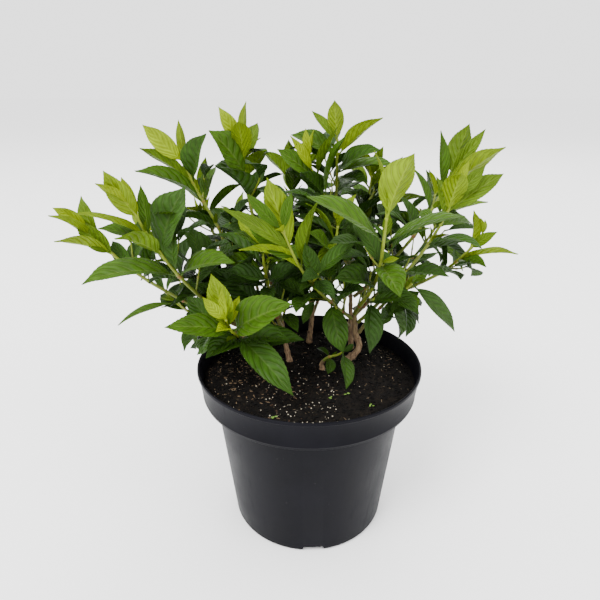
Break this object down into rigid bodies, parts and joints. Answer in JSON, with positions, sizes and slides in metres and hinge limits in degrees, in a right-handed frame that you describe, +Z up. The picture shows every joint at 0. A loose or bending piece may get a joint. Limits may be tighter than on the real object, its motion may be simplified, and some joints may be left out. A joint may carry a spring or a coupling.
{
  "type": "potted panicle hydrangea",
  "caption": "Young panicle hydrangea in leaf, several woody stems with opposite pointed leaves, growing in a round black plastic nursery pot of dark soil.",
  "frame": {"origin": "middle of the pot's flat underside", "axes": "+Z up, -Y towards the front as pictured, +X to the right as pictured"},
  "size_m": [0.429, 0.302, 0.421],
  "materials": {
    "pot_plastic": "satin",
    "potting_soil": "matte",
    "bark": "matte",
    "green_wood": "satin",
    "foliage": "satin"
  },
  "bodies": {
    "root": {"pot": "pot_plastic", "soil": "potting_soil", "stem_right": "bark", "stem_right_back": "bark", "stem_left": "bark", "stem_front_left": "bark", "stem_middle": "bark", "stem_back": "bark", "stem_back_left": "bark", "stem_stub": "bark", "bough_front_right": "green_wood", "bough_front_centre": "green_wood", "bough_right": "green_wood", "bough_low_right": "green_wood", "bough_top_centre": "green_wood", "bough_top_right": "green_wood", "bough_upper_right": "green_wood", "bough_far_right": "green_wood", "bough_back_far_right": "green_wood", "bough_inner_right": "green_wood", "bough_top_left": "green_wood", "bough_centre": "green_wood", "bough_top": "green_wood", "bough_back_right": "green_wood", "bough_back_centre": "green_wood", "bough_back_low": "green_wood", "bough_upper_left": "green_wood", "bough_left": "green_wood", "bough_far_left": "green_wood", "bough_low_left": "green_wood", "bough_back_left": "green_wood", "bough_back_far_left": "green_wood", "bough_back_low_left": "green_wood", "leaves_front_left": "foliage", "leaves_front_right": "foliage", "leaves_front_centre": "foliage", "leaves_left": "foliage", "leaves_far_left": "foliage", "leaves_upper_left": "foliage", "leaves_top_left": "foliage", "leaves_top_centre": "foliage", "leaves_top": "foliage", "leaves_upper_right": "foliage", "leaves_right": "foliage", "leaves_far_right": "foliage", "leaves_low_right": "foliage", "leaves_top_right": "foliage", "leaves_centre": "foliage", "leaves_inner_right": "foliage", "leaves_low_left": "foliage", "leaves_back_left": "foliage", "leaves_back_far_left": "foliage", "leaves_back_centre": "foliage", "leaves_back_right": "foliage", "leaves_back_low": "foliage", "leaves_back_far_right": "foliage", "leaves_back_low_left": "foliage", "leaves_sucker": "foliage"}
  },
  "joints": []
}
